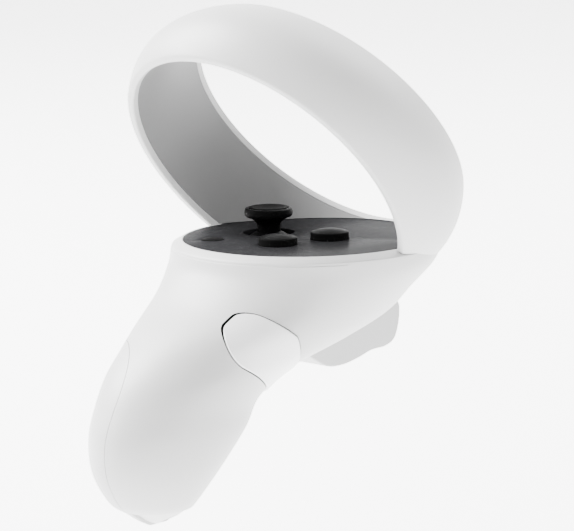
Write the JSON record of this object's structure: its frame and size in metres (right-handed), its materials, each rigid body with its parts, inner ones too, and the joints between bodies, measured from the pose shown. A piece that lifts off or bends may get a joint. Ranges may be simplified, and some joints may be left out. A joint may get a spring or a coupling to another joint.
{
  "type": "motion controller wand",
  "caption": "Left-hand motion controller: a leaning handle with trigger and grip button, a round dark control face with thumbstick and buttons, and a tilted tracking ring round it.",
  "frame": {"origin": "centre of the round control face's top surface", "axes": "+Z out of the control face towards the thumb, +Y forward away from the wrist, +X to the right of the left hand that holds it"},
  "size_m": [0.0862, 0.1016, 0.119],
  "materials": {
    "shell_plastic": "fine moulded satin, off-white",
    "liner_plastic": "smooth infrared-clear light grey",
    "grip_plastic": "smooth satin, white",
    "trigger_plastic": "smooth satin, off-white",
    "anchor_plastic": "satin, light grey",
    "face_plastic": "polished dark grey",
    "button_plastic": "satin dark grey",
    "stick_plastic": "satin black",
    "stick_rubber": "soft black",
    "dome_rubber": "translucent grey silicone",
    "inner_plastic": "plain moulded black",
    "board": "green solder mask",
    "chip_plastic": "moulded black",
    "steel": "bright steel",
    "spring_steel": "nickel-plated",
    "magnet": "nickel-plated",
    "brass": "turned",
    "cell_wrap": "printed film wrap, plain",
    "flex_film": "amber polyimide film",
    "led_lens": "clear lens"
  },
  "bodies": {
    "casing": {"grip_shell": "shell_plastic", "ring_outer_shell": "shell_plastic", "ring_inner_liner": "liner_plastic", "strap_anchor": "anchor_plastic", "face_plate": "face_plastic", "lower_switch_dome": "dome_rubber", "upper_switch_dome": "dome_rubber", "menu_switch_dome": "dome_rubber", "button_guide": "inner_plastic", "battery_tray": "inner_plastic", "grip_bracket": "inner_plastic", "stick_sensors": "chip_plastic", "stick_click_switch": "chip_plastic", "stick_housing": "spring_steel", "main_board": "board", "board_chips": "chip_plastic", "board_screws": "steel", "tray_screws": "steel", "trigger_pin": "steel", "grip_pin": "steel", "contact_spring": "spring_steel", "spring_contact_plate": "spring_steel", "positive_contact_plate": "spring_steel", "motor_case": "steel", "battery_cell": "cell_wrap", "led_strip": "flex_film", "leds": "led_lens"},
    "stick_yoke": {"stick_yoke": "inner_plastic"},
    "stick_lever": {"stick_lever": "inner_plastic"},
    "thumbstick": {"thumbstick": "stick_plastic", "thumbstick_pad": "stick_rubber"},
    "lower_button": {"lower_button": "button_plastic"},
    "upper_button": {"upper_button": "button_plastic"},
    "menu_button": {"menu_button": "button_plastic"},
    "trigger": {"trigger": "trigger_plastic", "trigger_magnet": "magnet", "trigger_spring": "spring_steel"},
    "grip_button": {"grip_button": "grip_plastic", "grip_magnet": "magnet", "grip_spring": "spring_steel"},
    "battery_cover": {"battery_cover": "shell_plastic"},
    "motor_rotor": {"motor_weight": "brass", "motor_axle": "steel"}
  },
  "joints": [
    {"name": "stick_pitch", "type": "hinge", "parent": "casing", "child": "stick_yoke", "pos_m": [-0.0115, -0.0012, -0.0074], "axis": [1, 0, 0], "range_deg": [-15, 15], "stiffness_Nm_per_rad": 0.02},
    {"name": "stick_roll", "type": "hinge", "parent": "stick_yoke", "child": "stick_lever", "pos_m": [-0.0115, -0.0012, -0.0074], "axis": [0, 1, 0], "range_deg": [-15, 15], "stiffness_Nm_per_rad": 0.02},
    {"name": "stick_click", "type": "slide", "parent": "stick_lever", "child": "thumbstick", "axis": [0, 0, -1], "range_m": [0, 0.0005], "stiffness_N_per_m": 600, "springref_m": -0.001},
    {"name": "lower_button_press", "type": "slide", "parent": "casing", "child": "lower_button", "axis": [0, 0, -1], "range_m": [0, 0.001], "stiffness_N_per_m": 400, "springref_m": -0.001, "deforming": ["lower_switch_dome"]},
    {"name": "upper_button_press", "type": "slide", "parent": "casing", "child": "upper_button", "axis": [0, 0, -1], "range_m": [0, 0.001], "stiffness_N_per_m": 400, "springref_m": -0.001, "deforming": ["upper_switch_dome"]},
    {"name": "menu_button_press", "type": "slide", "parent": "casing", "child": "menu_button", "axis": [0, 0, -1], "range_m": [0, 0.0006], "stiffness_N_per_m": 400, "springref_m": -0.001, "deforming": ["menu_switch_dome"]},
    {"name": "trigger_pull", "type": "hinge", "parent": "casing", "child": "trigger", "pos_m": [0, 0.014, -0.0146], "axis": [-1, 0, 0], "range_deg": [0, 12], "stiffness_Nm_per_rad": 0.06, "springref_deg": -34.38},
    {"name": "grip_squeeze", "type": "hinge", "parent": "casing", "child": "grip_button", "pos_m": [0.0126, -0.0282, -0.0227], "axis": [0, 0.5, -0.866], "range_deg": [0, 5], "stiffness_Nm_per_rad": 0.06, "springref_deg": -34.38},
    {"name": "cover_slide", "type": "slide", "parent": "casing", "child": "battery_cover", "axis": [0, -0.4648, -0.8854], "range_m": [0, 0.055]},
    {"name": "motor_spin", "type": "hinge", "parent": "casing", "child": "motor_rotor", "pos_m": [-0.0135, 0.003, -0.0135], "axis": [0, 0, 1], "continuous": true}
  ]
}
